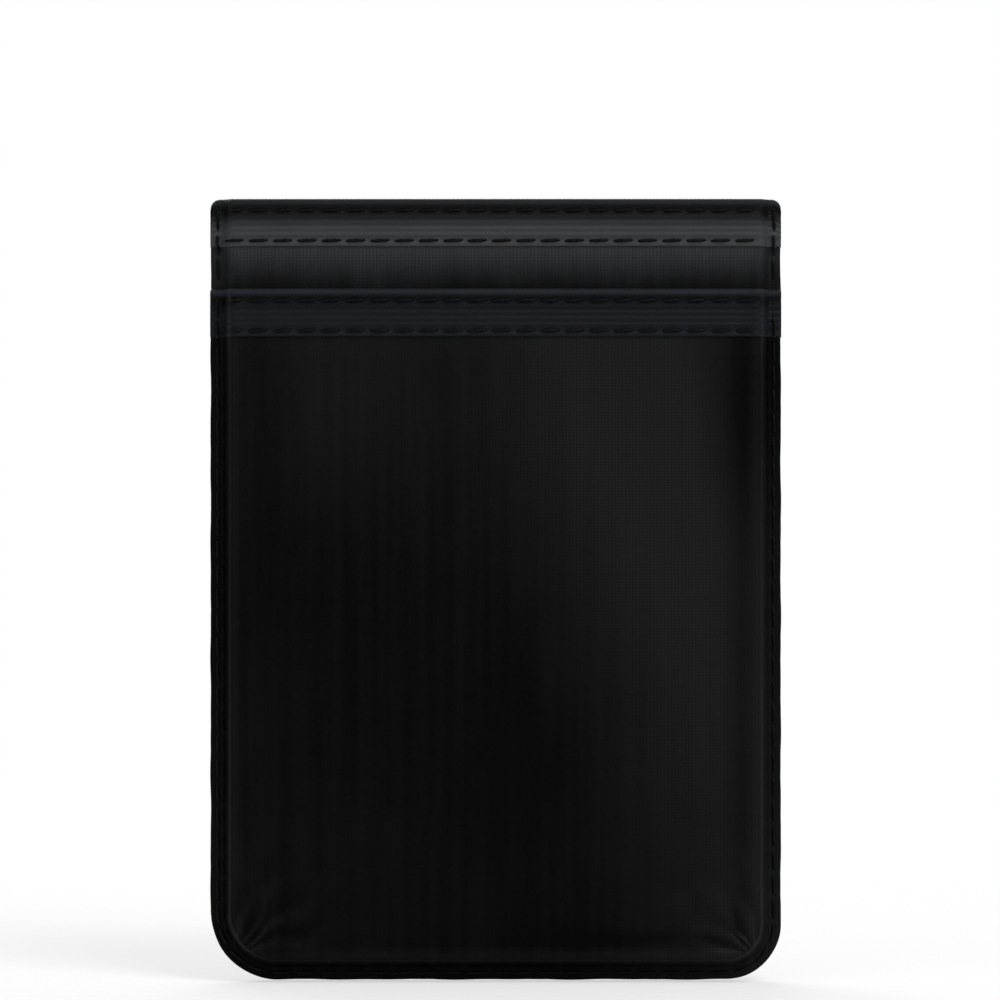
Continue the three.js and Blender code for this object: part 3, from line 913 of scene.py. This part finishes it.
def make_floor():
    """Pale floor that the camera sees as near white, with the holder's shadow kept."""
    height = BOTTOM * MM - FLOOR_GAP
    corners = [(x * FLOOR_REACH, y * FLOOR_REACH, height) for x, y in ((-1, -1), (1, -1), (1, 1), (-1, 1))]
    mesh = bpy.data.meshes.new("floor")
    mesh.from_pydata(corners, [], [(0, 1, 2, 3)])
    floor = bpy.data.objects.new("floor", mesh)
    bpy.context.scene.collection.objects.link(floor)
    material = bpy.data.materials.new("floor")
    material.use_nodes = True
    nodes, links = material.node_tree.nodes, material.node_tree.links
    shader = nodes["Principled BSDF"]
    shader.inputs["Base Color"].default_value = (0.86, 0.86, 0.86, 1)
    shader.inputs["Roughness"].default_value = 0.9
    shader.inputs["Specular IOR Level"].default_value = 0.1
    glow = nodes.new("ShaderNodeEmission")
    glow.inputs["Color"].default_value = (1, 1, 1, 1)
    path = nodes.new("ShaderNodeLightPath")
    coordinates = nodes.new("ShaderNodeTexCoord")
    length = nodes.new("ShaderNodeVectorMath")
    length.operation = "LENGTH"
    links.new(coordinates.outputs["Object"], length.inputs[0])
    fade = nodes.new("ShaderNodeMapRange")
    fade.interpolation_type = "SMOOTHSTEP"
    for name, value in (("From Min", 0.05), ("From Max", 0.45), ("To Min", 0.5), ("To Max", 1.0)):
        fade.inputs[name].default_value = value
    links.new(length.outputs["Value"], fade.inputs["Value"])
    share = nodes.new("ShaderNodeMath")
    share.operation = "MULTIPLY"
    links.new(path.outputs["Is Camera Ray"], share.inputs[0])
    links.new(fade.outputs["Result"], share.inputs[1])
    mix = nodes.new("ShaderNodeMixShader")
    links.new(share.outputs[0], mix.inputs["Fac"])
    links.new(shader.outputs[0], mix.inputs[1])
    links.new(glow.outputs[0], mix.inputs[2])
    links.new(mix.outputs[0], nodes["Material Output"].inputs["Surface"])
    mesh.materials.append(material)


# Assembly


def settle(piece, slot, *nodes):
    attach(piece, "root")
    if nodes:
        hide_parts(*nodes)
    return piece


def make_back():
    thickness = BACK_FACE_Y - BACK_FRONT_Y
    plan = Plan(REAR_MOUTH, BACK_SPACING)
    top = Pocket(REAR_MOUTH, 0, 0, top_radius=TOP_RADIUS)
    piece = sheet_object("back_cloth", plan, lambda x, z: np.full_like(x, -thickness),
                         lambda x, z: np.zeros_like(x), BACK_FABRIC, 0.3, bent=top.bent)
    settle(piece, "back_fabric", "back_panel")
    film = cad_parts["adhesive_pad"]
    film.data.materials.clear()
    film.data.materials.append(ADHESIVE)


def make_pocket(label, pocket, fabric, elastic, spacing, waver_phase, painted_light):
    top = pocket.mouth - BINDING
    climb_top = pocket.mouth - BINDING_HEIGHT
    plan = Plan(top, spacing, np.linspace(climb_top - SEWN_RAMP, climb_top, 3))
    cloth = sheet_object(f"{label}_pocket_cloth", plan, pocket.back, pocket.front, fabric,
                         waver_phase, painted_light, pocket.bent)
    settle(cloth, f"{label}_fabric", f"{label}_pocket_panel")
    strip = binding_object(f"{label}_mouth_elastic", pocket, elastic)
    settle(strip, f"{label}_elastic", f"{label}_mouth_binding")
    for row, drop in zip(("upper", "lower"), ROW_DROPS):
        line = Path([(x, pocket.mouth - drop) for x in (MOUTH_ROW_START, -MOUTH_ROW_START)])
        stitches = stitch_row(f"{label}_mouth_stitches_{row}", line,
                              lambda x, z: binding_front(pocket, x, z), THREAD)
        settle(stitches, "thread", f"{label}_mouth_stitching_{row}")


def make_edge_seam():
    front = round_edge_path(FRONT_MOUTH - FABRIC / 2 - BINDING, EDGE_ROW_INSET)
    settle(stitch_row("edge_stitches", front, sewn_front(FRONT), THREAD), "thread", "edge_stitching")
    for label, sign in (("left", -1), ("right", 1)):
        x = sign * (HALF_WIDTH - EDGE_ROW_INSET)
        line = Path([(x, REAR_MOUTH - TOP_RADIUS), (x, FRONT_MOUTH + 0.2)])
        stitches = stitch_row(f"rear_edge_stitches_{label}", line, sewn_front(REAR), THREAD)
        settle(stitches, "thread", f"rear_edge_stitching_{label}")
    back = round_edge_path(REAR_MOUTH - TOP_RADIUS, EDGE_ROW_INSET)
    stitches = stitch_row("edge_stitches_back", back, lambda x, z: np.zeros_like(x), THREAD,
                          outward=-1.0, base_y=BACK_FACE_Y)
    settle(stitches, "thread", "edge_stitching_back")


make_camera()
make_lights()
make_world()
make_floor()
make_back()
make_pocket("rear", REAR, REAR_FABRIC, REAR_ELASTIC, REAR_SPACING, 1.1, rear_painted_shade)
make_pocket("front", FRONT, FRONT_FABRIC, FRONT_ELASTIC, FRONT_SPACING, 2.9, front_painted_sheen)
make_edge_seam()

bpy.context.scene.view_settings.view_transform = "Standard"
